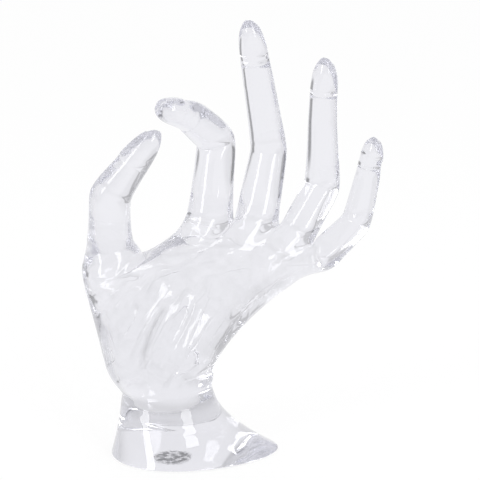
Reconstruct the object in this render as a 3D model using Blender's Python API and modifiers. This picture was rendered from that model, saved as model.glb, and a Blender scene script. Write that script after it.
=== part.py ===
"""A clear cast hand on a flared wrist, with thumb and index finger nearly closed, that holds jewelry.

The hand stands on its cut wrist. +X is the little finger's side, -Y the palm side and +Z up,
and the origin is the middle of the flat underside. The whole hand is one solid: a coarse cage
of rings, which runs from the base through the wrist and palm and divides into five digits.
Subdivision Surface smooths it, and the relief of palm and back is then pressed into the surface.
"""
import math
from collections import namedtuple

import bmesh
import bpy
from mathutils import Vector

MM = 0.001

# Base: an egg outline seen from above, its narrow end under the little finger
BASE_LENGTH = 62.8 * MM
BASE_WIDTH = 46.0 * MM
BASE_TURN = math.radians(8.6)
BASE_TAPER = 0.16
BASE_EDGE = 0.9 * MM
FLARE_POWER = 1.8

# Wrist: an oval, measured from the middle of the underside
WRIST_HEIGHT = 24.0 * MM
WRIST_SHIFT = -10.5 * MM
WRIST_WIDTH = 33.5 * MM
WRIST_DEPTH = 26.0 * MM

# Palm: wrist to the index finger's root, thumb's root to the little finger's, and palm to back
PALM_LENGTH = 61.7 * MM
PALM_BREADTH = 61.0 * MM
PALM_DEPTH = 25.0 * MM

# Digits: length from root to tip, and width at the first joint
INDEX_LENGTH = 63.5 * MM
INDEX_WIDTH = 15.0 * MM
MIDDLE_LENGTH = 79.5 * MM
MIDDLE_WIDTH = 13.6 * MM
RING_LENGTH = 70.5 * MM
RING_WIDTH = 13.0 * MM
LITTLE_LENGTH = 52.5 * MM
LITTLE_WIDTH = 10.9 * MM
THUMB_LENGTH = 61.8 * MM
THUMB_WIDTH = 18.0 * MM

# Digits: fillet of the centre line at each joint, drop of the webs, and fold and knuckle of a joint
# that is bent by the full angle
BEND = 2.8 * MM
WEB_DROP = 1.0 * MM
FOLD_DEPTH = 0.6 * MM
KNUCKLE_RISE = 0.7 * MM
FULL_BEND = math.radians(55)

# Digits: depth over width at the root and the tip, on the palm side and the back
PALM_SIDE_DEPTH = (0.92, 0.85)
BACK_SIDE_DEPTH = (0.88, 0.75)

# Digits: share of the last bone where the tip begins to round off, and the power of its curve
TIP_START = 0.55
TIP_POWER = 0.55

# Nails
NAIL_STEP = 0.45 * MM
NAIL_SLOPE = 0.35 * MM
NAIL_RIM = 0.5 * MM
CUTICLE_ARC = 1.3 * MM

# Wrist crease round the hand where the flare begins, which rises to the little finger's side,
# and how far the hand stands out over the flare
CREASE_DEPTH = 0.5 * MM
CREASE_REACH = 1.6 * MM
CREASE_SLOPE = math.radians(5.5)
PALM_STEP = 0.6 * MM

# Palm relief: height and radius of the thumb's mound, the heel's mound, the hollow and the finger pads
THENAR_RISE = 3.5 * MM
THENAR_RADIUS = 12.5 * MM
HEEL_RISE = 3.2 * MM
HEEL_RADIUS = 10.0 * MM
HOLLOW_DEPTH = 2.5 * MM
HOLLOW_RADIUS = 13.0 * MM
PAD_RISE = 1.3 * MM
PAD_RADIUS = 5.5 * MM
PAD_DROP = 6.5 * MM
GROOVE_DEPTH = 1.5 * MM
GROOVE_HALF = 2.6 * MM

# Back relief: knuckles over the finger roots, and the tendons that run down from them
ROOT_KNUCKLE_RISE = 1.6 * MM
ROOT_KNUCKLE_RADIUS = 6.0 * MM
TENDON_RISE = 0.8 * MM
TENDON_HALF = 2.8 * MM

COLLECTION = "jewelry_hand_stand"
NODE = "jewelry_hand"

FINGER_FACES = 3
FINGERS = 4
PALM_FACES = FINGER_FACES * FINGERS
BASE_HEIGHTS = (0.0, 0.06, 0.18, 0.36, 0.56, 0.78)
KNUCKLE_DEPTH = 32
KNUCKLE_FLAT = 2.5
EDGE_SHARE = 0.02
PALM_FADE = 1.7

WRIST = Vector((WRIST_SHIFT, 0.0, WRIST_HEIGHT))


def palm_point(across, forward, up):
    """A point given from the wrist's centre in hundredths of the palm's breadth, depth and length."""
    return WRIST + Vector((across * PALM_BREADTH, forward * PALM_DEPTH, up * PALM_LENGTH)) / 100


# root: centre of the digit's first ring
# seat: lean and forward tilt of that ring's axis, in degrees
# bones: hundredths of the length, lean to the little finger's side and tilt to the palm side in degrees
# widths: hundredths of the width, at the root, mid bone, first joint, mid bone, second joint and nail
# backs: which way the back of the digit faces at its root and at its tip
Digit = namedtuple("Digit", "name root length width seat bones widths backs")
DIGITS = (
    Digit("index", palm_point(26, 4, 100), INDEX_LENGTH, INDEX_WIDTH, (3, 0),
          ((49, 5.5, -1), (27, -42, 37), (24, -69, 37)), (117, 99, 96, 97, 89, 75),
          ((0.2, 1, 0), (0.1, 0.45, 0.9))),
    Digit("middle", palm_point(53.5, 16, 98.5), MIDDLE_LENGTH, MIDDLE_WIDTH, (6, 0),
          ((35, 10.5, -8), (33, -9, 16), (32, -9.5, 20)), (119, 110, 100, 90, 84, 75),
          ((0.2, 1, 0), (0.3, 1, 0))),
    Digit("ring", palm_point(77.5, 16, 92.5), RING_LENGTH, RING_WIDTH, (24, 0),
          ((29, 29, -9), (35.5, -1.5, 12), (35.5, 1, 18)), (109, 103, 105, 90, 83, 78),
          ((0.2, 1, 0), (0.5, 0.85, 0))),
    Digit("little", palm_point(92, 8, 79.5), LITTLE_LENGTH, LITTLE_WIDTH, (57, 0),
          ((35, 46.5, -7), (35, 11.5, 9), (30, 7, 19)), (120, 107, 104, 99, 92, 82),
          ((0.3, 1, 0), (0.9, 0.4, 0))),
    Digit("thumb", palm_point(-29.5, -24, 74), THUMB_LENGTH, THUMB_WIDTH, (-30, 0),
          ((18, -8, 10), (32.5, 2, 16), (49.5, 37, 13)), (142, 123, 95, 82, 87, 65),
          ((-0.2, 1, 0), (-0.6, 0.7, 0.3))),
)

# bone and fraction: where a ring stands on its digit
# bent: share of the joint's fold and knuckle that the ring takes
# nail: whether the nail plate lies between this ring and the next one marked
Station = namedtuple("Station", "bone fraction bent nail", defaults=(0.0, False))
STATIONS = (
    Station(0, 0.0), Station(0, 0.2), Station(0, 0.45), Station(0, 0.72), Station(0, 0.92, 0.2),
    Station(1, 0.0, 1.0), Station(1, 0.1, 0.2), Station(1, 0.36), Station(1, 0.64), Station(1, 0.92, 0.2),
    Station(2, 0.0, 0.8), Station(2, 0.14, 0.2), Station(2, 0.42, 0.0, True), Station(2, 0.6, 0.0, True),
    Station(2, 0.77, 0.0, True), Station(2, 0.9, 0.0, True), Station(2, 0.98),
)

# thumb_edge and little_edge: where the section ends
# palm and back: its reach to each side of its middle, in hundredths of the palm's depth
# flat: power of the oval, 2 is an ellipse and more is squarer
# fade: how far the knuckle row's arc and ridges still show
# thumb: whether the thumb's root lies on this level
Section = namedtuple("Section", "thumb_edge little_edge palm back flat fade thumb", defaults=(False,))
SECTIONS = (
    Section(palm_point(-36.5, -12, 11), palm_point(28, 12, 10), 54, 48, 2.2, 0.0),
    Section(palm_point(-38, -16, 24), palm_point(32.5, 12, 20.5), 54, 46, 2.3, 0.0),
    Section(palm_point(-41.5, -20, 38), palm_point(42, 12, 32.5), 52, 44, 2.4, 0.05),
    Section(palm_point(-44, -24, 61), palm_point(54.5, 12, 45.5), 48, 42, 2.5, 0.15, True),
    Section(palm_point(-34, -20, 70), palm_point(63, 12, 53), 46, 40, 2.5, 0.25, True),
    Section(palm_point(-22, -16, 77), palm_point(71, 12, 59), 44, 38, 2.5, 0.4, True),
    Section(palm_point(-10.5, -12, 83.5), palm_point(79.5, 12, 64.5), 42, 36, 2.5, 0.6, True),
    Section(palm_point(0.5, -8, 91.5), palm_point(86, 12, 69.5), 38, 34, 2.5, 0.85),
)

# Middles of the palm's mounds and hollow, the groove between the mounds, and where the tendons meet
THENAR = palm_point(-24, 0, 35)
HEEL = palm_point(12, 0, 27.5)
HOLLOW = palm_point(20, 0, 61.5)
GROOVE = (palm_point(-11, 0, 6), palm_point(-8, 0, 32), palm_point(0, 0, 50), palm_point(15, 0, 62))
TENDON_END = palm_point(0, 0, 20)


def lerp(start, end, share):
    return start + (end - start) * share


def swell(points):
    """A smooth closed surface lies inside its cage: the factor by which a ring of points is enlarged."""
    return 6 / (4 + 2 * math.cos(math.tau / points))


def heading(lean, forward):
    """Direction that leans to the little finger's side (+X) and tilts to the palm side (-Y)."""
    lean = math.radians(lean)
    forward = math.radians(forward)
    return Vector((math.sin(lean) * math.cos(forward), -math.sin(forward), math.cos(lean) * math.cos(forward)))


def joints(digit):
    """Root, two joints and tip of a digit."""
    points = [digit.root]
    for share, lean, forward in digit.bones:
        points.append(points[-1] + heading(lean, forward) * digit.length * share / 100)
    return points


def polyline_point(points, distance):
    """Point at a distance along straight bones, straight on past both ends."""
    for start, end in zip(points, points[1:]):
        length = (end - start).length
        if distance <= length or end is points[-1]:
            return start + (end - start) * (distance / length)
        distance -= length


def bend_share(digit, station):
    """How far the joint next to a ring is bent, as a share of the full bend."""
    joint = station.bone + round(station.fraction)
    if joint < 1 or joint >= len(digit.bones):
        return 0.0
    before = heading(*digit.bones[joint - 1][1:])
    after = heading(*digit.bones[joint][1:])
    return min(before.angle(after) / FULL_BEND, 1.0)


def interpolate(pairs, value):
    """Value of a piecewise straight line through (place, value) pairs."""
    for (low, start), (high, end) in zip(pairs, pairs[1:]):
        if value <= high:
            return lerp(start, end, (value - low) / (high - low))
    return pairs[-1][1]


def tip_taper(bone, fraction):
    """Share of the width that is left where the last bone rounds off to its tip."""
    if bone < 2 or fraction <= TIP_START:
        return 1.0
    return (1 - ((fraction - TIP_START) / (1 - TIP_START)) ** 2) ** TIP_POWER


def digit_ring(digit, station):
    """Ten cage points round a digit: thumb-side point, four palm points, little side, four back points."""
    points = joints(digit)
    lengths = [digit.length * share / 100 for share, lean, forward in digit.bones]
    distance = sum(lengths[:station.bone]) + station.fraction * lengths[station.bone]
    samples = [distance + BEND * step / 4 for step in range(-4, 5)]
    centre = sum((polyline_point(points, sample) for sample in samples), Vector()) / len(samples)
    tangent = polyline_point(points, distance + BEND) - polyline_point(points, distance - BEND)
    if distance == 0:
        centre = points[0]
        tangent = heading(*digit.seat)
    tangent.normalize()

    places = (0, lengths[0] / 2, lengths[0], lengths[0] + lengths[1] / 2, lengths[0] + lengths[1],
              lengths[0] + lengths[1] + lengths[2] / 2)
    width = digit.width * interpolate(list(zip(places, digit.widths)), distance) / 100
    taper = tip_taper(station.bone, station.fraction)
    along = distance / sum(lengths)
    back = lerp(Vector(digit.backs[0]), Vector(digit.backs[1]), along)
    back = (back - tangent * back.dot(tangent)).normalized()
    side = back.cross(tangent)

    count = 2 * FINGER_FACES + 4
    half = width / 2 * taper * swell(count)
    bent = station.bent * bend_share(digit, station)
    depth_palm = half * lerp(*PALM_SIDE_DEPTH, along) - FOLD_DEPTH * bent
    depth_back = half * lerp(*BACK_SIDE_DEPTH, along) + KNUCKLE_RISE * bent
    ring = []
    for index in range(count):
        angle = math.pi + math.tau * index / count
        rise = math.sin(angle)
        depth = depth_back if rise > 0 else depth_palm
        point = centre + side * half * math.cos(angle) + back * depth * rise
        ring.append(point)
    return ring


def oval_share(column):
    """How far across the hand a palm column lies on a plain oval, from 0 to 1."""
    return (1 - math.cos(math.pi * (column + 1) / (PALM_FACES + 2))) / 2


def section_point(section, across, side):
    """A point of a palm section, on the palm (side -1) or the back (side 1)."""
    centre = lerp(section.thumb_edge, section.little_edge, across)
    depth = (section.palm if side < 0 else section.back) / 100 * PALM_DEPTH
    reach = max(0.0, 1 - abs(2 * across - 1) ** section.flat) ** (1 / section.flat)
    return centre + Vector((0, side * depth * reach, 0))


def hump(distance, radius):
    """Smooth rise of height 1 that fades with the distance from its middle."""
    return math.exp(-(distance / radius) ** 2)


def apart(point, other):
    """Distance of two points as seen from the palm."""
    return math.hypot(point.x - other.x, point.z - other.z)


def apart_from_line(point, line):
    """Distance of a point from a line of straight stretches, as seen from the palm, and how far along it."""
    best = None
    for index, (start, end) in enumerate(zip(line, line[1:])):
        run_x = end.x - start.x
        run_z = end.z - start.z
        share = ((point.x - start.x) * run_x + (point.z - start.z) * run_z) / (run_x ** 2 + run_z ** 2)
        share = min(max(share, 0.0), 1.0)
        distance = apart(point, lerp(start, end, share))
        if best is None or distance < best[0]:
            best = (distance, (index + share) / (len(line) - 1))
    return best


def palm_relief(point):
    """How far the palm stands out at a point: two mounds with a groove between them, a hollow, finger pads."""
    height = THENAR_RISE * hump(apart(point, THENAR), THENAR_RADIUS)
    height += HEEL_RISE * hump(apart(point, HEEL), HEEL_RADIUS)
    height -= HOLLOW_DEPTH * hump(apart(point, HOLLOW), HOLLOW_RADIUS)
    distance, along = apart_from_line(point, GROOVE)
    height -= GROOVE_DEPTH * hump(distance, GROOVE_HALF) * (1 - along ** 2)
    for digit in DIGITS[:FINGERS]:
        pad = digit.root - heading(*digit.seat) * PAD_DROP
        height += PAD_RISE * hump(apart(point, pad), PAD_RADIUS)
    return height


def back_relief(point):
    """How far the back stands out at a point: a knuckle over each finger root, and its tendon."""
    height = 0.0
    for digit in DIGITS[:FINGERS]:
        height += ROOT_KNUCKLE_RISE * hump(apart(point, digit.root), ROOT_KNUCKLE_RADIUS)
        distance, along = apart_from_line(point, (digit.root, TENDON_END))
        height += TENDON_RISE * hump(distance, TENDON_HALF) * (1 - along)
    return height


class Columns:
    """Cage points of one ring of the palm, by side (-1 palm, 1 back) and column."""

    def __init__(self):
        self.thumb_end = None
        self.little_end = None
        self.rows = {-1: [], 1: []}

    def loop(self):
        return [self.thumb_end] + self.rows[-1] + [self.little_end] + self.rows[1][::-1]


def knuckle_ring(roots):
    """The ring where the palm meets the fingers, and the middle point of each web."""
    ring = Columns()
    ring.thumb_end = roots[0][0]
    ring.little_end = roots[-1][FINGER_FACES + 2]
    webs = []
    for side in (-1, 1):
        row = ring.rows[side]
        for root in roots:
            points = root[1:FINGER_FACES + 2] if side < 0 else root[FINGER_FACES + 3:][::-1]
            if row:
                row[-1] = lerp(row[-1], points[0], 0.5)
                row += points[1:]
            else:
                row += points
    for first, second in zip(roots, roots[1:]):
        webs.append(lerp(first[FINGER_FACES + 2], second[0], 0.5))
    drop = Vector((0, 0, WEB_DROP))
    for index in range(len(webs)):
        webs[index] = webs[index] - drop
        for side in (-1, 1):
            column = FINGER_FACES * (index + 1)
            ring.rows[side][column] = ring.rows[side][column] - drop
    return ring, webs


def palm_rings(knuckles):
    """Rings of the palm from the wrist side up, which take on the knuckle row's form as they rise."""
    line = knuckles.little_end - knuckles.thumb_end
    top = Section(knuckles.thumb_end, knuckles.little_end, KNUCKLE_DEPTH, KNUCKLE_DEPTH, KNUCKLE_FLAT, 1.0)
    rings = []
    for level, section in enumerate(SECTIONS):
        ring = Columns()
        ring.thumb_end = section.thumb_edge
        ring.little_end = section.little_edge
        spread = (level + 1) / (len(SECTIONS) + 1)
        for side in (-1, 1):
            for column, knuckle in enumerate(knuckles.rows[side]):
                share = (knuckle - knuckles.thumb_end).dot(line) / line.length_squared
                share = min(max(share, EDGE_SHARE), 1 - EDGE_SHARE)
                own = knuckle - section_point(top, share, side)
                across = lerp(oval_share(column), share, spread)
                fade = section.fade ** PALM_FADE if side < 0 else section.fade
                ring.rows[side].append(section_point(section, across, side) + own * fade)
        rings.append(ring)
    return rings


def base_ring(level, inset):
    """Ring at a share of the wrist's height: egg outline at the underside, oval at the wrist."""
    count = 2 * PALM_FACES + 4
    grow = swell(count)
    share = max(0.0, 1 - level) ** FLARE_POWER
    points = []
    for index in range(count):
        angle = math.pi + math.tau * index / count
        cosine = math.cos(angle)
        sine = math.sin(angle)
        egg = Vector(((BASE_LENGTH / 2 - inset) * cosine * grow,
                      (BASE_WIDTH / 2 - inset) * sine * (1 - BASE_TAPER * cosine) * grow, 0))
        turned = Vector((egg.x * math.cos(BASE_TURN) - egg.y * math.sin(BASE_TURN),
                         egg.x * math.sin(BASE_TURN) + egg.y * math.cos(BASE_TURN), 0))
        oval = Vector((WRIST.x + (WRIST_WIDTH / 2 - inset) * cosine * grow,
                       (WRIST_DEPTH / 2 - inset) * sine * grow, 0))
        point = lerp(oval, turned, share)
        point.z = WRIST_HEIGHT * level
        points.append(point)
    ring = Columns()
    ring.thumb_end = points[0]
    ring.rows[-1] = points[1:PALM_FACES + 2]
    ring.little_end = points[PALM_FACES + 2]
    ring.rows[1] = points[PALM_FACES + 3:][::-1]
    return ring


def base_rings():
    """Rings from the underside up to the wrist crease."""
    rings = [base_ring(0.0, BASE_EDGE)]
    for level in BASE_HEIGHTS:
        rings.append(base_ring(level, 0.0))
    reach = CREASE_REACH / WRIST_HEIGHT
    creases = (base_ring(1 - reach, 0.0), base_ring(1.0, CREASE_DEPTH), base_ring(1 + reach, -PALM_STEP))
    for ring in creases:
        for point in ring.loop():
            point.z += (point.x - WRIST.x) * math.tan(CREASE_SLOPE)
    return rings + list(creases)


def bridge(mesh, lower, upper, skip=()):
    """Quads between two rings of vertices; indices in skip stay open."""
    count = len(lower)
    for index in range(count):
        if index in skip:
            continue
        after = (index + 1) % count
        mesh.faces.new((lower[index], lower[after], upper[after], upper[index]))


def close(mesh, ring):
    """Quads over the end of a ring: a row of middle points joined to both sides."""
    faces = (len(ring) - 4) // 2
    thumb_end = ring[0]
    palm = ring[1:faces + 2]
    little_end = ring[faces + 2]
    back = ring[faces + 3:][::-1]
    middle = [mesh.verts.new((low.co + high.co) / 2) for low, high in zip(palm, back)]
    mesh.faces.new((thumb_end, palm[0], middle[0], back[0]))
    mesh.faces.new((palm[-1], little_end, back[-1], middle[-1]))
    for index in range(faces):
        mesh.faces.new((palm[index], palm[index + 1], middle[index + 1], middle[index]))
        mesh.faces.new((middle[index], middle[index + 1], back[index + 1], back[index]))


def raise_nail(mesh, rings):
    """Lift the nail plate off the back of the last bone, with a rim and a step."""
    first_back = FINGER_FACES + 3
    nail_rings = [index for index, station in enumerate(STATIONS) if station.nail]
    first = nail_rings[0]
    last = nail_rings[-1]
    for column in (first_back + 1, first_back + 2):
        vertex = rings[first][column]
        below = rings[first - 1][column]
        vertex.co += (below.co - vertex.co).normalized() * CUTICLE_ARC
    plate = []
    for lower, upper in zip(rings[first:last], rings[first + 1:last + 1]):
        for column in range(first_back, first_back + FINGER_FACES):
            corners = {lower[column], lower[column + 1], upper[column + 1], upper[column]}
            plate += [face for face in lower[column].link_faces if set(face.verts) == corners]
    bmesh.ops.inset_region(mesh, faces=plate, thickness=NAIL_RIM, depth=0, use_even_offset=True)
    bmesh.ops.inset_region(mesh, faces=plate, thickness=NAIL_SLOPE, depth=NAIL_STEP, use_even_offset=True)


def build_digit(mesh, digit, root):
    """Rings of one digit from its root ring of vertices up to its closed tip, and its nail."""
    rings = [root]
    for station in STATIONS[1:]:
        ring = [mesh.verts.new(point) for point in digit_ring(digit, station)]
        bridge(mesh, rings[-1], ring)
        rings.append(ring)
    close(mesh, rings[-1])
    raise_nail(mesh, rings)


def hand_mesh():
    """The whole hand as one closed cage."""
    mesh = bmesh.new()
    fingers = DIGITS[:FINGERS]
    thumb = DIGITS[-1]
    knuckles, webs = knuckle_ring([digit_ring(digit, STATIONS[0]) for digit in fingers])
    base = base_rings()
    palm = palm_rings(knuckles)
    thumb_root = digit_ring(thumb, STATIONS[0])

    # The thumb's root ring takes the place of the palm's edge columns over its own levels,
    # and the columns beside it pass halfway to the palm
    levels = [ring for ring, section in zip(palm, SECTIONS) if section.thumb]
    for step, level in enumerate(levels):
        level.rows[-1][0] = thumb_root[1 + step]
        level.rows[1][0] = thumb_root[-1 - step]
        for row in level.rows.values():
            row[1] = lerp(row[0], row[2], 0.5)
    levels[0].thumb_end = thumb_root[0]
    levels[-1].thumb_end = thumb_root[FINGER_FACES + 2]

    rings = []
    for level in base + palm + [knuckles]:
        rings.append([mesh.verts.new(point) for point in level.loop()])
    first = len(base) + palm.index(levels[0])
    last = first + len(levels) - 1
    edge_faces = (0, len(rings[0]) - 1)
    for index, (lower, upper) in enumerate(zip(rings, rings[1:])):
        bridge(mesh, lower, upper, edge_faces if first <= index < last else ())
    close(mesh, rings[0])
    for ring in rings[first + 1:last]:
        mesh.verts.remove(ring[0])

    # Finger roots share the columns at the webs
    top = rings[-1]
    palm_row = top[1:PALM_FACES + 2]
    back_row = top[PALM_FACES + 3:][::-1]
    ends = [top[0]] + [mesh.verts.new(point) for point in webs] + [top[PALM_FACES + 2]]
    for index, digit in enumerate(fingers):
        columns = slice(FINGER_FACES * index, FINGER_FACES * (index + 1) + 1)
        root = [ends[index]] + palm_row[columns] + [ends[index + 1]] + back_row[columns][::-1]
        build_digit(mesh, digit, root)

    outer = [rings[level][1] for level in range(first, last + 1)]
    inner = [rings[level][-1] for level in range(first, last + 1)]
    build_digit(mesh, thumb, [rings[first][0]] + outer + [rings[last][0]] + inner[::-1])
    bmesh.ops.recalc_face_normals(mesh, faces=mesh.faces)
    return mesh


def press_relief(mesh):
    """Raise and sink the smoothed surface by the palm's and the back's relief, along its own normals."""
    moves = []
    for vertex in mesh.vertices:
        facing = vertex.normal.y
        height = palm_relief(vertex.co) if facing < 0 else back_relief(vertex.co)
        above_crease = min(max((vertex.co.z - WRIST_HEIGHT) / (2 * CREASE_REACH), 0.0), 1.0)
        moves.append(vertex.normal * height * facing ** 2 * above_crease)
    for vertex, move in zip(mesh.vertices, moves):
        vertex.co += move


def clear_resin():
    """Clear cast acrylic, with the faint lavender grey of its thicker parts."""
    material = bpy.data.materials.new("clear_acrylic")
    material.use_nodes = True
    shader = material.node_tree.nodes["Principled BSDF"]
    shader.inputs["Base Color"].default_value = (0.90, 0.90, 0.95, 1.0)
    shader.inputs["Roughness"].default_value = 0.03
    shader.inputs["Metallic"].default_value = 0.0
    shader.inputs["IOR"].default_value = 1.49
    shader.inputs["Transmission Weight"].default_value = 1.0
    return material


def main():
    for item in list(bpy.data.objects):
        bpy.data.objects.remove(item, do_unlink=True)
    collection = bpy.data.collections.new(COLLECTION)
    bpy.context.scene.collection.children.link(collection)

    cage = hand_mesh()
    data = bpy.data.meshes.new("hand_cage")
    cage.to_mesh(data)
    cage.free()
    shape = bpy.data.objects.new("hand_cage", data)
    collection.objects.link(shape)
    smooth = shape.modifiers.new("smooth", "SUBSURF")
    smooth.levels = 1
    smooth.render_levels = 1
    smoothed = shape.evaluated_get(bpy.context.evaluated_depsgraph_get())
    surface = bpy.data.meshes.new_from_object(smoothed)
    surface.name = NODE
    bpy.data.objects.remove(shape, do_unlink=True)

    press_relief(surface)
    surface.materials.append(clear_resin())
    surface.shade_smooth()
    hand = bpy.data.objects.new(NODE, surface)
    collection.objects.link(hand)


main()
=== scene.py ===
"""Looks of the clear cast display hand: its fine surface, clear acrylic and a pale studio.

Sizes are metres in the frame of the CAD model: +X is the little finger's side, -Y the palm side
and +Z up. The solid's own facets are welded and smoothed. The slight unevenness of a casting, the
lines of the palm and the folds of the joints are then pressed into them.
"""
import math
from collections import namedtuple

import bmesh
import bpy
import numpy as np
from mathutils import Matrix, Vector


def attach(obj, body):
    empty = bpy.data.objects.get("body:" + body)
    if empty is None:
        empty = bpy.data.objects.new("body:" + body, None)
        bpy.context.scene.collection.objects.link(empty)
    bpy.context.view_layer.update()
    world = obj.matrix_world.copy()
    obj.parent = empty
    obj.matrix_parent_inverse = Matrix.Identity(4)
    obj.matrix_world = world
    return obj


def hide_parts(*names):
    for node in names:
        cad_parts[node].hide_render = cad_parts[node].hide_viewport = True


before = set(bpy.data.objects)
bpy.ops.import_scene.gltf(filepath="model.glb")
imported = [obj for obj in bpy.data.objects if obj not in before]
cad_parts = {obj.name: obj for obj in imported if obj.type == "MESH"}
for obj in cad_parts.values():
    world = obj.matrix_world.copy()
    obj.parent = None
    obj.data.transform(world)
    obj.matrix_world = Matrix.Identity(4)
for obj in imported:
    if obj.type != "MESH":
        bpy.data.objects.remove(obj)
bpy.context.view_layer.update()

MM = 0.001
NODE = "jewelry_hand"
WHITE = (1.0, 1.0, 1.0, 1.0)
BLACK = (0.0, 0.0, 0.0, 1.0)

# Camera: 13 degrees above the table, straight on to the palm, 620 mm from the object's middle
CAMERA_RISE = math.radians(13.0)
CAMERA_DISTANCE = 620 * MM
CAMERA_CLIP = 50 * MM
AIM = Vector((16.5 * MM, 0.0, 80 * MM))
LENS = 128.6
SENSOR = 36.0

# A ray can meet the glass many times before it leaves
BOUNCES = 64

# Softboxes: degrees to the right of straight in front, width and height in metres, and watts
Softbox = namedtuple("Softbox", "name azimuth width height power")
SOFTBOXES = (
    Softbox("softbox_left", -45, 0.2, 1.1, 3.3),
    Softbox("softbox_right", 31, 0.26, 1.1, 4.2),
)
SOFTBOX_DISTANCE = 0.9
SOFTBOX_RISE = 0.25

# Table: a hair below the cast underside, so that air stays between the two. Its glow is the share
# of its white that is its own light
TABLE_GAP = 0.3 * MM
TABLE_SIZE = 8.0
TABLE_GLOW = 0.86
TABLE_COLOUR = (0.9, 0.9, 0.9, 1.0)
TABLE_ROUGH = 0.9

# Fine surface: weld distance, levels of smoothing, and how crisp the nail steps stay
WELD = 0.01 * MM
SMOOTH_LEVELS = 2
STEP_ANGLE = math.radians(28)
STEP_CREASE = 0.7

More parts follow.
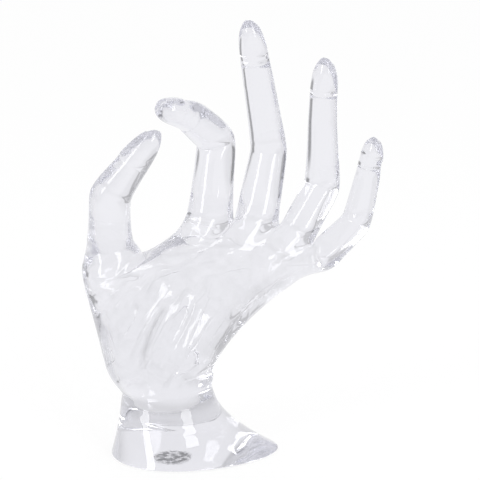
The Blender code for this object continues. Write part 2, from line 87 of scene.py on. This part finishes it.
# Lines of the cast surface, seen from the palm
# side: which side of the hand they are on
# depth: how deep they are pressed in, or raised where negative, in mm
# half: half their width in mm
# points: x and z in mm
PALM = -1
BACK = 1
Line = namedtuple("Line", "side depth half points")
LINES = (
    # Groove beside the thumb mound, its hook, and the ridge and groove next to it
    Line(PALM, 1.7, 0.95, ((-17.6, 34), (-17.9, 41.9), (-15.6, 49.4), (-12.7, 54.9), (-9.8, 59.4))),
    Line(PALM, 0.35, 0.8, ((-15.7, 41.9), (-14.3, 37.1), (-10.4, 34.5))),
    Line(PALM, -0.5, 1.6, ((-9.3, 44.2), (-6, 49.8), (-3.1, 54.9), (-1.3, 61.6))),
    Line(PALM, 0.5, 0.9, ((-6.9, 43.5), (-3.8, 49), (-0.9, 54.3), (0.9, 61.2))),
    # Ridge and groove on the thumb mound, and a short line beside them
    Line(PALM, -0.4, 1.8, ((-27.8, 57.7), (-24.2, 62.1), (-19.6, 66.9))),
    Line(PALM, 0.4, 0.9, ((-30.6, 61), (-26.7, 65.4), (-22.5, 70))),
    Line(PALM, 0.35, 0.7, ((-8.5, 58), (-3.1, 65))),
    # Level line across the palm, its end that turns down, and the short lines below it
    Line(PALM, 0.35, 0.8, ((-23, 77.2), (-15.2, 77.5), (-6.4, 77.5), (1.3, 78.3), (7.7, 79))),
    Line(PALM, 0.4, 0.9, ((-22.5, 77.3), (-24.7, 73.7), (-27.2, 70))),
    Line(PALM, 0.3, 0.7, ((-16, 76.1), (-12.4, 75.7), (-10, 74.3), (-9, 71.7))),
    Line(PALM, 0.3, 0.6, ((2.3, 73.6), (5.1, 74), (8, 74.7))),
    Line(PALM, 0.3, 0.6, ((3.3, 69.2), (6.9, 69.2), (10.1, 68.5))),
    Line(PALM, 0.3, 0.6, ((5.4, 60.1), (8.3, 60.5), (11.5, 59.4))),
    Line(PALM, 0.25, 0.6, ((-1.4, 50.4), (2.5, 50.8))),
    # Folds at the roots of the index, middle, ring and little fingers
    Line(PALM, 0.5, 0.8, ((-3.4, 88.1), (-0.5, 89.9), (4.4, 89.2), (9.1, 88.9), (14, 89.9))),
    Line(PALM, 0.5, 0.8, ((15.1, 88.6), (19.4, 88.9), (24.3, 87.8), (29.7, 88.6))),
    Line(PALM, 0.5, 0.8, ((30.4, 87.8), (34.4, 85.9), (37.3, 84.5), (40.2, 82.3))),
    Line(PALM, 0.8, 0.9, ((40.2, 82.4), (42.4, 80.2), (43.8, 77.2), (44.6, 74.3), (46.1, 71.3))),
    # Short lines above the wrist
    Line(PALM, 0.4, 0.8, ((-5.8, 33.8), (-2.9, 33.4), (2.8, 36.4))),
    Line(PALM, 0.5, 0.9, ((-4, 30), (1.4, 31.5), (6.8, 33.8))),
    # Folds of the joints: middle, index, ring and little finger, thumb, and the thumb's root
    Line(PALM, 0.3, 0.7, ((20.7, 115.3), (26.3, 115.6), (32.3, 117.1))),
    Line(PALM, 0.3, 0.7, ((3.8, 113.5), (8.8, 114.6), (14.4, 116))),
    Line(PALM, 0.3, 0.7, ((39.3, 100.9), (44.3, 100.2), (49.9, 101.6))),
    Line(PALM, 0.3, 0.7, ((53.3, 90.7), (58, 89.6), (62.2, 91.1))),
    Line(PALM, 0.3, 0.7, ((-35.1, 105.4), (-29.5, 102.9), (-23.7, 98.3))),
    Line(PALM, 0.6, 1.0, ((-41, 74.5), (-37, 73.4), (-34, 75.5))),
    # Groove and ridge along the palm's left edge, and the groove along its right edge
    Line(PALM, 0.8, 1.8, ((-37.2, 65.8), (-35.5, 58.4), (-33.5, 50.9), (-31.8, 43.4),
                          (-30.1, 35.9), (-28.1, 29.1))),
    Line(PALM, -0.4, 1.2, ((-33.4, 66.3), (-31, 58.9), (-29.4, 51.5), (-28.4, 44), (-27.5, 36.5),
                           (-26.1, 29.7))),
    Line(PALM, 0.8, 1.8, ((39.1, 69.6), (30.9, 65.1), (24.4, 59.9), (19, 54.3), (13.6, 47.9),
                          (9.6, 41.9), (6.7, 36.6))),
    # Level lines of the base, and the hollow under the wrist crease
    Line(PALM, 0.3, 0.8, ((-20, 16.2), (-15.9, 15.5), (-5.1, 14.4), (6.4, 14.8))),
    Line(PALM, 0.2, 0.8, ((-16, 12.8), (-12.3, 12.4), (2.1, 11.7), (14.7, 11.3))),
    Line(PALM, 0.8, 2.4, ((-25.4, 19.6), (-16, 18.9), (-3.4, 19.3), (7.8, 21.2))),
    # Ridges above the wrist
    Line(PALM, -0.8, 1.7, ((-27, 31), (-23, 32.5), (-19, 34.5))),
    Line(PALM, -0.8, 1.7, ((-15.5, 37.5), (-13, 34.5), (-9.5, 32))),
    # Nail bases: middle, ring, little and index finger, and thumb
    Line(BACK, 0.5, 0.8, ((16.5, 146.5), (19.3, 144.7), (24.3, 144.4), (28.2, 145.8))),
    Line(BACK, 0.5, 0.8, ((40.7, 134.6), (43.5, 133.2), (47.8, 133.2), (51.0, 134.6))),
    Line(BACK, 0.4, 0.7, ((59.8, 108.3), (62.3, 106.8), (65.2, 106.5), (67.7, 107.5))),
    Line(BACK, 0.2, 0.8, ((-4.0, 133.8), (-0.9, 130.6), (-0.2, 127.1), (-2.3, 123.2))),
    Line(BACK, 0.15, 0.8, ((-22.5, 118.6), (-20.8, 115.5), (-17.7, 111.9), (-15.0, 109.8))),
)

# Painted shade: soft darker bands on the palm side, standing in for the shade that refraction gives
# there: how much darker, half the width in mm, points as above
PaintedShadeBand = namedtuple("PaintedShadeBand", "dark half points")
PAINTED_SHADE_BANDS = (
    # Right edge of the palm
    PaintedShadeBand(0.2, 5.0, ((28.0, 67.1), (23.0, 60.4), (17.9, 54.9), (13.2, 47.7), (8.9, 41.7),
                        (5.3, 35.7))),
    # Under the wrist crease, a line below it and a patch at its left end
    PaintedShadeBand(0.32, 2.4, ((-25.4, 21.7), (-16.0, 20.6), (-5.2, 19.8), (4.9, 20.9), (10.0, 23.2))),
    PaintedShadeBand(0.12, 1.2, ((-23.9, 18.2), (-16.0, 16.3), (-5.2, 15.6), (5.7, 16.7))),
    PaintedShadeBand(0.3, 1.8, ((-24.4, 19.8), (-22.3, 17.9), (-19.7, 16.8))),
    # Patch above the crease
    PaintedShadeBand(0.2, 1.8, ((-4.5, 33.3), (-0.9, 30.2), (3.5, 29.5))),
    # Slope of the base on the right, and the whole base
    PaintedShadeBand(0.08, 4.0, ((10.0, 19.4), (13.6, 14.9), (18.7, 11.0), (24.5, 7.2))),
    PaintedShadeBand(0.11, 9.0, ((-32.0, 9.0), (-5.0, 9.0), (30.0, 7.0))),
    # Inner side of the thumb
    PaintedShadeBand(0.38, 1.1, ((-12.2, 117.2), (-13.6, 114.0), (-15.2, 110.9), (-16.8, 108.0),
                         (-18.8, 104.8), (-20.7, 101.6), (-22.3, 98.8), (-22.7, 96.3))),
    # Left edge of the palm
    PaintedShadeBand(0.12, 2.5, ((-35.8, 59.2), (-34.2, 50.9), (-31.8, 42.3), (-29.4, 33.5),
                         (-27.0, 25.9))),
)

# How fast a line or band grows from its ends, and how much of it is there at the ends
PRESS_TAPER = (6.0, 0.25)
LINE_TAPER = (4.0, 0.0)
BAND_TAPER = (4.0, 0.2)
# How soon a band reaches its full strength where the surface turns to the palm side
BAND_FACING = 2.0

# Slight unevenness of the casting: height in mm, wave length in mm, seed of its directions, how
# much of it the digits get, and where it starts and how far it takes to grow above the underside
WAVES = ((0.11, 17.0, 3), (0.07, 8.0, 5), (0.035, 3.6, 8))
WAVES_EACH = 7
DIGIT_WAVES = 0.12
WAVES_START = 2.0 * MM
WAVES_GROWTH = 6.0 * MM

# Where the cast is hazy: on palm and back, above the wrist, up to a slanting line below the finger
# roots and to a line across the thumb's root, which is tilted by an angle
HAZE_LOW = Vector((-3.0 * MM, 0.0, 87.0 * MM))
HAZE_HIGH = Vector((45.0 * MM, 0.0, 75.0 * MM))
HAZE_EDGE = 3.0 * MM
HAZE_WRIST = 27.0 * MM
THUMB_ROOT = Vector((-30.0 * MM, 0.0, 71.0 * MM))
THUMB_TILT = math.radians(30)

# Clear acrylic: colour of the surface, bend of light, and the tint that grows with thickness
ACRYLIC = (0.872, 0.872, 0.91, 1.0)
REFRACTION = 1.49
TINT = (0.5, 0.51, 0.68, 1.0)
TINT_DENSITY = 1.8

Noise = namedtuple("Noise", "scale detail distortion")

# Hazy palm: roughness where its mottle is least, how much more it gets, and where the mottle turns
# from low to high for the roughness and for the milky patches
HAZY_ROUGH = 0.045
HAZY_MORE = 2.0
MOTTLE = Noise(220.0, 5.0, 0.6)
MOTTLE_ROUGH = (0.4, 0.65)
MOTTLE_MILKY = (0.42, 0.66)

# How much darker the milky patches are, and how much painted shade the skin lines and the pressed
# lines of the palm get
MILKY_DARK = 0.05
SKIN_PAINTED_SHADE = 0.13
LINE_PAINTED_SHADE = 0.22

# Low swells of the whole surface
SWELL = Noise(160.0, 2.0, 0.0)
SWELL_STRENGTH = 0.02
SWELL_HEIGHT = 0.3 * MM

# Fine skin lines of the palm: depth, how they are stretched and how wide they are, the patches
# they are broken into, and the heights between which they turn from slanting to level
SKIN_DEPTH = 0.25 * MM
SKIN_STRENGTH = 0.8
SKIN_STRETCH = (6.0, 2.0, 1.0)
SKIN = Noise(130.0, 1.0, 0.4)
SKIN_WIDTH = 0.035
SKIN_PATCH = Noise(70.0, 2.0, 0.0)
SKIN_PATCH_EDGE = (0.42, 0.62)
SKIN_CHANGE = (58 * MM, 72 * MM)
SKIN_SLANT = math.radians(-62)

# Round patch in the middle of the underside: rough, coloured near black as a painted dark
# reflection of the hand above, with swirls and a ragged edge
MARK = Vector((-8 * MM, -11 * MM, 0.0))
MARK_RADIUS = 7.2 * MM
MARK_EDGE = (0.75 * MARK_RADIUS, MARK_RADIUS)
MARK_RAGGED = 5 * MM
MARK_SWIRL = Noise(500.0, 3.0, 0.0)
MARK_SWIRL_EDGE = (0.4, 0.54)
MARK_LEAST = 0.4
MARK_HEIGHT = (0.1 * MM, 0.3 * MM)
MARK_ROUGH = 0.65
OVAL_PAINTED_REFLECTION = (0.02, 0.02, 0.025, 1.0)

# Rays that have met the glass see the studio less white in places, as if dark cards stood round
# the object. DARK is the share of white that is gone, and each pair is where an edge starts and
# ends. First the world, where the pairs are parts of the direction of sight
GLASS_RAYS = ("Is Glossy Ray", "Is Transmission Ray")
# Everything but straight behind
WIDE_DARK = 0.25
WIDE = (0.45, 0.85)
# A strip high behind, which shades the glass under the wrist crease
STRIP_DARK = 0.8
STRIP_START = (0.53, 0.6)
STRIP_END = (0.68, 0.78)
STRIP_BEHIND = (0.5, 0.7)
STRIP_LEFT = (0.36, 0.46)
# A low wall behind on the left, which shades the thumb's inner side
WALL_DARK = 0.33
WALL_START = (0.38, 0.46)
WALL_END = (0.85, 0.95)
WALL_FOOT = (-0.1, 0.04)
WALL_TOP = (0.2, 0.3)
WALL_BEHIND = (0.0, 0.1)

# Then the table, where the pairs are metres from the middle
# On the right, from a line beside the object that runs back to the right
RIGHT_DARK = 0.8
RIGHT = (0.22, 0.3)
RIGHT_TURN = 0.9
RIGHT_BESIDE = (-0.08, 0.04)
# Far out on the left, nearer on the left, and in front on the left
FAR_LEFT_DARK = 0.5
FAR_LEFT = (0.7, 0.8)
LEFT_DARK = 0.1
LEFT = (0.15, 0.3)
FRONT_DARK = 0.85
FRONT_LEFT = (0.12, 0.25)
FRONT = (0.02, 0.1)
# In front of the object and under it, and a little way behind it
NEAR_DARK = 0.11
NEAR = (0.0, 0.06)
MIDDLE_DARK = 0.04
MIDDLE = (0.2, 0.4)


def camera():
    """Camera at the photograph's angle."""
    data = bpy.data.cameras.new("camera")
    data.lens = LENS
    data.sensor_width = SENSOR
    data.clip_start = CAMERA_CLIP
    item = bpy.data.objects.new("camera", data)
    away = Vector((0, -math.cos(CAMERA_RISE), math.sin(CAMERA_RISE)))
    item.location = AIM + away * CAMERA_DISTANCE
    item.rotation_euler = (math.pi / 2 - CAMERA_RISE, 0, 0)
    bpy.context.scene.collection.objects.link(item)
    bpy.context.scene.camera = item


def fine_mesh():
    """The solid's own facets, welded back to quads and smoothed, with crisp nail steps."""
    cage = bmesh.new()
    cage.from_mesh(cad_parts[NODE].data)
    bmesh.ops.remove_doubles(cage, verts=cage.verts, dist=WELD)
    bmesh.ops.join_triangles(cage, faces=cage.faces, angle_face_threshold=math.pi,
                             angle_shape_threshold=math.pi)
    crease = cage.edges.layers.float.new("crease_edge")
    for edge in cage.edges:
        if edge.is_manifold and edge.calc_face_angle() > STEP_ANGLE:
            edge[crease] = STEP_CREASE
    data = bpy.data.meshes.new("hand_cage")
    cage.to_mesh(data)
    cage.free()
    item = bpy.data.objects.new("hand_cage", data)
    bpy.context.scene.collection.objects.link(item)
    smooth = item.modifiers.new("smooth", "SUBSURF")
    smooth.levels = SMOOTH_LEVELS
    smooth.render_levels = SMOOTH_LEVELS
    depsgraph = bpy.context.evaluated_depsgraph_get()
    fine = bpy.data.meshes.new_from_object(item.evaluated_get(depsgraph))
    bpy.data.objects.remove(item, do_unlink=True)
    return fine


def vertex_values(mesh):
    """Places and normals of all vertices as arrays."""
    count = len(mesh.vertices)
    places = np.empty(count * 3)
    mesh.vertices.foreach_get("co", places)
    normals = np.empty(count * 3)
    mesh.vertices.foreach_get("normal", normals)
    return places.reshape(-1, 3), normals.reshape(-1, 3)


def smooth_share(value):
    """Smooth step of an array from 0 to 1."""
    value = np.clip(value, 0.0, 1.0)
    return value * value * (3 - 2 * value)


def line_distance(places, points):
    """Distance of each place from a line, seen from the palm, and how far along it the place is."""
    flat = places[:, (0, 2)]
    best = np.full(len(places), np.inf)
    along = np.zeros(len(places))
    points = [np.array(point) * MM for point in points]
    for index, (start, end) in enumerate(zip(points, points[1:])):
        run = end - start
        share = np.clip((flat - start) @ run / (run @ run), 0, 1)
        distance = np.linalg.norm(flat - start - share[:, None] * run, axis=1)
        nearer = distance < best
        best[nearer] = distance[nearer]
        along[nearer] = (index + share[nearer]) / (len(points) - 1)
    return best, along


def nearness(places, line, taper):
    """1 in the middle of a line or band, and less away from it and towards its ends."""
    distance, along = line_distance(places, line.points)
    growth, least = taper
    ends = smooth_share(np.minimum(along, 1 - along) * growth + least)
    return np.exp(-(distance / (line.half * MM)) ** 2) * ends


def hand_share(places):
    """1 on the palm and the back of the hand, 0 on digits and base."""
    line = np.array(HAZE_HIGH - HAZE_LOW)
    up = np.array((-line[2], 0, line[0])) / math.hypot(line[0], line[2])
    below = -(places - np.array(HAZE_LOW)) @ up
    fingers = smooth_share(below / HAZE_EDGE)
    wrist = smooth_share((places[:, 2] - HAZE_WRIST) / HAZE_EDGE)
    thumb_axis = np.array((math.sin(THUMB_TILT), 0, -math.cos(THUMB_TILT)))
    thumb = smooth_share((places - np.array(THUMB_ROOT)) @ thumb_axis / (2 * HAZE_EDGE) + 0.5)
    return fingers * wrist * thumb


def cast_waves(mesh):
    """The slight unevenness that a casting keeps from its mould, with a flat underside."""
    places, normals = vertex_values(mesh)
    move = np.zeros(len(places))
    for height, length, seed in WAVES:
        random = np.random.default_rng(seed)
        directions = random.normal(size=(WAVES_EACH, 3))
        directions /= np.linalg.norm(directions, axis=1)[:, None]
        phases = random.uniform(0, math.tau, WAVES_EACH)
        angles = places @ directions.T * (math.tau / (length * MM)) + phases
        move += height * MM * np.sin(angles).sum(axis=1) / math.sqrt(WAVES_EACH)
    move *= DIGIT_WAVES + (1 - DIGIT_WAVES) * hand_share(places)
    move *= smooth_share((places[:, 2] - WAVES_START) / WAVES_GROWTH)
    places += normals * np.minimum(move, 0)[:, None]
    mesh.vertices.foreach_set("co", places.ravel())


def press_lines(mesh):
    """Press the lines of the palm, the folds of the joints and the nail bases into the surface."""
    places, normals = vertex_values(mesh)
    move = np.zeros(len(places))
    for line in LINES:
        facing = np.clip(normals[:, 1] * line.side, 0, 1)
        move -= line.depth * MM * nearness(places, line, PRESS_TAPER) * facing
    places += normals * move[:, None]
    mesh.vertices.foreach_set("co", places.ravel())


def keep_value(mesh, name, values):
    """Keep a value of each vertex under a name that the material reads."""
    layer = mesh.attributes.new(name, "FLOAT", "POINT")
    layer.data.foreach_set("value", values.astype(np.float32))


def paint(mesh):
    """Keep how hazy the surface is, and the painted shade of its grooves and soft bands."""
    places, normals = vertex_values(mesh)
    shade = np.zeros(len(places))
    facing = np.clip(-normals[:, 1], 0, 1)
    # Painted shade in the pressed grooves of the palm
    for line in LINES:
        if line.side == PALM and line.depth > 0:
            near = nearness(places, line, LINE_TAPER) * facing
            shade = np.maximum(shade, near * line.depth * LINE_PAINTED_SHADE)
    # Painted shade of the soft bands, on faces turned to the palm side
    facing = np.clip(-normals[:, 1] * BAND_FACING, 0, 1)
    for band in PAINTED_SHADE_BANDS:
        near = nearness(places, band, BAND_TAPER) * facing
        shade = np.maximum(shade, near * band.dark)
    keep_value(mesh, "shade", np.minimum(shade, 1.0))
    keep_value(mesh, "haze", hand_share(places))


def axes(tree, coordinates):
    """Links to X, Y and Z of one kind of texture coordinates."""
    split = tree.nodes.new("ShaderNodeSeparateXYZ")
    tree.links.new(tree.nodes.new("ShaderNodeTexCoord").outputs[coordinates], split.inputs[0])
    return split.outputs


def maths(tree, operation, first, second=0.0):
    """Math node of two links or numbers."""
    node = tree.nodes.new("ShaderNodeMath")
    node.operation = operation
    for socket, value in zip(node.inputs, (first, second)):
        if isinstance(value, (int, float)):
            socket.default_value = value
        else:
            tree.links.new(value, socket)
    return node.outputs[0]


def rest(tree, value):
    """What is missing from a value to 1."""
    return maths(tree, "SUBTRACT", 1.0, value)


def ramp(tree, value, low, high):
    """Node that rises smoothly from 0 to 1 as a value goes from low to high."""
    node = tree.nodes.new("ShaderNodeMapRange")
    node.interpolation_type = "SMOOTHSTEP"
    node.inputs["From Min"].default_value = low
    node.inputs["From Max"].default_value = high
    tree.links.new(value, node.inputs["Value"])
    return node.outputs["Result"]


def mix(tree, kind, share, first, second):
    """Blend of two numbers or colours, each a link or given in place."""
    node = tree.nodes.new("ShaderNodeMix")
    node.data_type = kind
    tree.links.new(share, node.inputs["Factor"])
    for name, value in (("A", first), ("B", second)):
        if isinstance(value, (float, tuple)):
            node.inputs[name].default_value = value
        else:
            tree.links.new(value, node.inputs[name])
    return node.outputs["Result"]


def noise(tree, vector, pattern):
    """Noise texture from 0 to 1."""
    node = tree.nodes.new("ShaderNodeTexNoise")
    node.inputs["Scale"].default_value = pattern.scale
    node.inputs["Detail"].default_value = pattern.detail
    node.inputs["Distortion"].default_value = pattern.distortion
    tree.links.new(vector, node.inputs["Vector"])
    return node.outputs["Fac"]


def kept_value(tree, name):
    """Link to a value that the vertices keep."""
    node = tree.nodes.new("ShaderNodeAttribute")
    node.attribute_name = name
    return node.outputs["Fac"]


def bump(tree, height, strength, distance, normal=None):
    """Normal of a surface that stands out where its height is more."""
    node = tree.nodes.new("ShaderNodeBump")
    node.inputs["Strength"].default_value = strength
    node.inputs["Distance"].default_value = distance
    tree.links.new(height, node.inputs["Height"])
    if normal is not None:
        tree.links.new(normal, node.inputs["Normal"])
    return node.outputs["Normal"]


def skin_lines(tree, place, turn):
    """Thin lines along one direction of the palm: where a stretched noise passes its middle."""
    mapping = tree.nodes.new("ShaderNodeMapping")
    mapping.vector_type = "TEXTURE"
    mapping.inputs["Rotation"].default_value = (0.0, turn, 0.0)
    mapping.inputs["Scale"].default_value = SKIN_STRETCH
    tree.links.new(place, mapping.inputs["Vector"])
    stretched = noise(tree, mapping.outputs["Vector"], SKIN)
    off = maths(tree, "ABSOLUTE", maths(tree, "SUBTRACT", stretched, 0.5))
    near = rest(tree, ramp(tree, off, 0.0, SKIN_WIDTH))
    patches = ramp(tree, noise(tree, place, SKIN_PATCH), *SKIN_PATCH_EDGE)
    return maths(tree, "MULTIPLY", near, patches)


def skin(tree, place, height):
    """Fine lines of the palm, slanting in its lower part and level in its upper part."""
    return mix(tree, "FLOAT", ramp(tree, height, *SKIN_CHANGE),
               skin_lines(tree, place, SKIN_SLANT), skin_lines(tree, place, 0.0))


def painted_dark_oval(tree, place, height):
    """How far a point lies in the round patch of painted dark reflection on the underside, swirled
    and with a ragged edge.
    """
    apart = tree.nodes.new("ShaderNodeVectorMath")
    apart.operation = "DISTANCE"
    tree.links.new(place, apart.inputs[0])
    apart.inputs[1].default_value = MARK
    swirls = noise(tree, place, MARK_SWIRL)
    shift = maths(tree, "MULTIPLY", maths(tree, "SUBTRACT", swirls, 0.5), MARK_RAGGED)
    ragged = maths(tree, "ADD", apart.outputs["Value"], shift)
    inside = rest(tree, ramp(tree, ragged, *MARK_EDGE))
    swirl = maths(tree, "MULTIPLY", ramp(tree, swirls, *MARK_SWIRL_EDGE), 1 - MARK_LEAST)
    inside = maths(tree, "MULTIPLY", inside, maths(tree, "ADD", swirl, MARK_LEAST))
    return maths(tree, "MULTIPLY", inside, rest(tree, ramp(tree, height, *MARK_HEIGHT)))


def acrylic():
    """Polished clear acrylic: clear digits and base, a hazier palm, lavender where it is thick,
    with painted shade on the palm side and a painted dark reflection on the underside.
    """
    material = bpy.data.materials.new("clear_acrylic")
    material.use_nodes = True
    tree = material.node_tree
    shader = tree.nodes["Principled BSDF"]
    shader.inputs["Transmission Weight"].default_value = 1.0
    shader.inputs["IOR"].default_value = REFRACTION
    place = tree.nodes.new("ShaderNodeTexCoord").outputs["Object"]
    height = axes(tree, "Object")["Z"]
    haze = kept_value(tree, "haze")
    fine = maths(tree, "MULTIPLY", skin(tree, place, height), haze)
    mottle = noise(tree, place, MOTTLE)
    reflection_oval = painted_dark_oval(tree, place, height)

    more = maths(tree, "MULTIPLY", ramp(tree, mottle, *MOTTLE_ROUGH), HAZY_MORE)
    hazy = maths(tree, "MULTIPLY", maths(tree, "ADD", more, 1.0), HAZY_ROUGH)
    hazy = maths(tree, "MULTIPLY", hazy, haze)
    tree.links.new(mix(tree, "FLOAT", reflection_oval, hazy, MARK_ROUGH), shader.inputs["Roughness"])

    # Milky patches are darker at random; the skin lines, pressed lines and soft bands add painted
    # shade
    milky = maths(tree, "MULTIPLY", ramp(tree, mottle, *MOTTLE_MILKY), haze)
    dark = maths(tree, "MULTIPLY", milky, MILKY_DARK)
    dark = maths(tree, "ADD", dark, maths(tree, "MULTIPLY", fine, SKIN_PAINTED_SHADE))
    dark = maths(tree, "ADD", dark, kept_value(tree, "shade"))
    # Painted shade darkens the acrylic, and the round patch on the underside is painted near black
    # as a reflection
    colour = mix(tree, "RGBA", reflection_oval, mix(tree, "RGBA", dark, ACRYLIC, BLACK), OVAL_PAINTED_REFLECTION)
    tree.links.new(colour, shader.inputs["Base Color"])

    swell = bump(tree, noise(tree, place, SWELL), SWELL_STRENGTH, SWELL_HEIGHT)
    pressed = bump(tree, rest(tree, fine), SKIN_STRENGTH, SKIN_DEPTH, swell)
    tree.links.new(pressed, shader.inputs["Normal"])

    tint = tree.nodes.new("ShaderNodeVolumeAbsorption")
    tint.inputs["Color"].default_value = TINT
    tint.inputs["Density"].default_value = TINT_DENSITY
    tree.links.new(tint.outputs["Volume"], tree.nodes["Material Output"].inputs["Volume"])
    return material


def ray_kinds(tree, *kinds):
    """1 for rays of the given kinds, 0 for all others."""
    path = tree.nodes.new("ShaderNodeLightPath")
    found = 0.0
    for kind in kinds:
        found = maths(tree, "MAXIMUM", found, path.outputs[kind])
    return found


def darkest(tree, shades):
    """Highest of several shades, each a number and the links that it is multiplied with."""
    highest = 0.0
    for share, *links in shades:
        for link in links:
            share = maths(tree, "MULTIPLY", share, link)
        highest = maths(tree, "MAXIMUM", highest, share)
    return highest


def less_white(tree, shades):
    """Strength of the white: 1, and less by the shades for rays that have met the glass."""
    dark = darkest(tree, shades)
    return rest(tree, maths(tree, "MULTIPLY", dark, ray_kinds(tree, *GLASS_RAYS)))


def table_shades(tree):
    """Where on the table white is gone, and how much of it."""
    right, back, _ = axes(tree, "Object")
    left = maths(tree, "MULTIPLY", right, -1.0)
    front = maths(tree, "MULTIPLY", back, -1.0)
    turned = maths(tree, "SUBTRACT", right, maths(tree, "MULTIPLY", back, RIGHT_TURN))
    return (
        (RIGHT_DARK, ramp(tree, right, *RIGHT), ramp(tree, turned, *RIGHT_BESIDE),
         ramp(tree, back, *NEAR)),
        (FAR_LEFT_DARK, ramp(tree, left, *FAR_LEFT)),
        (LEFT_DARK, ramp(tree, left, *LEFT)),
        (FRONT_DARK, ramp(tree, left, *FRONT_LEFT), ramp(tree, front, *FRONT)),
        (NEAR_DARK, rest(tree, ramp(tree, back, *NEAR))),
        (MIDDLE_DARK, rest(tree, ramp(tree, back, *MIDDLE))),
    )


def world_shades(tree):
    """Where in the world white is gone, and how much of it."""
    right, behind, rise = axes(tree, "Generated")
    left = maths(tree, "MULTIPLY", right, -1.0)
    return (
        (WIDE_DARK, rest(tree, ramp(tree, behind, *WIDE))),
        (STRIP_DARK, ramp(tree, rise, *STRIP_START), rest(tree, ramp(tree, rise, *STRIP_END)),
         ramp(tree, behind, *STRIP_BEHIND), rest(tree, ramp(tree, left, *STRIP_LEFT))),
        (WALL_DARK, ramp(tree, left, *WALL_START), rest(tree, ramp(tree, left, *WALL_END)),
         ramp(tree, rise, *WALL_FOOT), rest(tree, ramp(tree, rise, *WALL_TOP)),
         ramp(tree, behind, *WALL_BEHIND)),
    )


def table_white():
    """White paper: what shows is mostly its own light, and plain diffuse white keeps the shadow."""
    material = bpy.data.materials.new("table_white")
    material.use_nodes = True
    tree = material.node_tree
    shader = tree.nodes["Principled BSDF"]
    shader.inputs["Base Color"].default_value = TABLE_COLOUR
    shader.inputs["Roughness"].default_value = TABLE_ROUGH
    shader.inputs["Specular IOR Level"].default_value = 0.0
    glow = tree.nodes.new("ShaderNodeEmission")
    glow.inputs["Color"].default_value = WHITE
    tree.links.new(less_white(tree, table_shades(tree)), glow.inputs["Strength"])
    seen = ray_kinds(tree, *GLASS_RAYS, "Is Camera Ray")
    both = tree.nodes.new("ShaderNodeMixShader")
    tree.links.new(maths(tree, "MULTIPLY", seen, TABLE_GLOW), both.inputs["Fac"])
    tree.links.new(shader.outputs[0], both.inputs[1])
    tree.links.new(glow.outputs[0], both.inputs[2])
    tree.links.new(both.outputs[0], tree.nodes["Material Output"].inputs["Surface"])
    return material


def softbox(box):
    """A tall soft light beside the camera, aimed at the object's middle."""
    data = bpy.data.lights.new(box.name, "AREA")
    data.shape = "RECTANGLE"
    data.size = box.width
    data.size_y = box.height
    data.energy = box.power
    item = bpy.data.objects.new(box.name, data)
    azimuth = math.radians(box.azimuth)
    away = Vector((math.sin(azimuth), -math.cos(azimuth), SOFTBOX_RISE))
    item.location = AIM + away * SOFTBOX_DISTANCE
    item.rotation_euler = (AIM - item.location).to_track_quat("-Z", "Y").to_euler()
    bpy.context.scene.collection.objects.link(item)


def studio():
    """White surroundings, a pale table and the softboxes."""
    world = bpy.data.worlds.new("studio")
    bpy.context.scene.world = world
    world.use_nodes = True
    tree = world.node_tree
    shader = tree.nodes["Background"]
    shader.inputs["Color"].default_value = WHITE
    tree.links.new(less_white(tree, world_shades(tree)), shader.inputs["Strength"])

    bpy.ops.mesh.primitive_plane_add(size=TABLE_SIZE, location=(0, 0, -TABLE_GAP))
    table = bpy.context.object
    table.name = "table"
    table.data.materials.append(table_white())

    for box in SOFTBOXES:
        softbox(box)


def main():
    camera()
    studio()
    mesh = fine_mesh()
    cast_waves(mesh)
    press_lines(mesh)
    paint(mesh)
    mesh.materials.clear()
    mesh.materials.append(acrylic())
    mesh.shade_smooth()
    hand = bpy.data.objects.new("cast_hand", mesh)
    bpy.context.scene.collection.objects.link(hand)
    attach(hand, "root")
    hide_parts(NODE)
    scene = bpy.context.scene
    scene.view_settings.view_transform = "Standard"
    scene.cycles.max_bounces = BOUNCES
    scene.cycles.transmission_bounces = BOUNCES
    scene.cycles.glossy_bounces = BOUNCES


main()
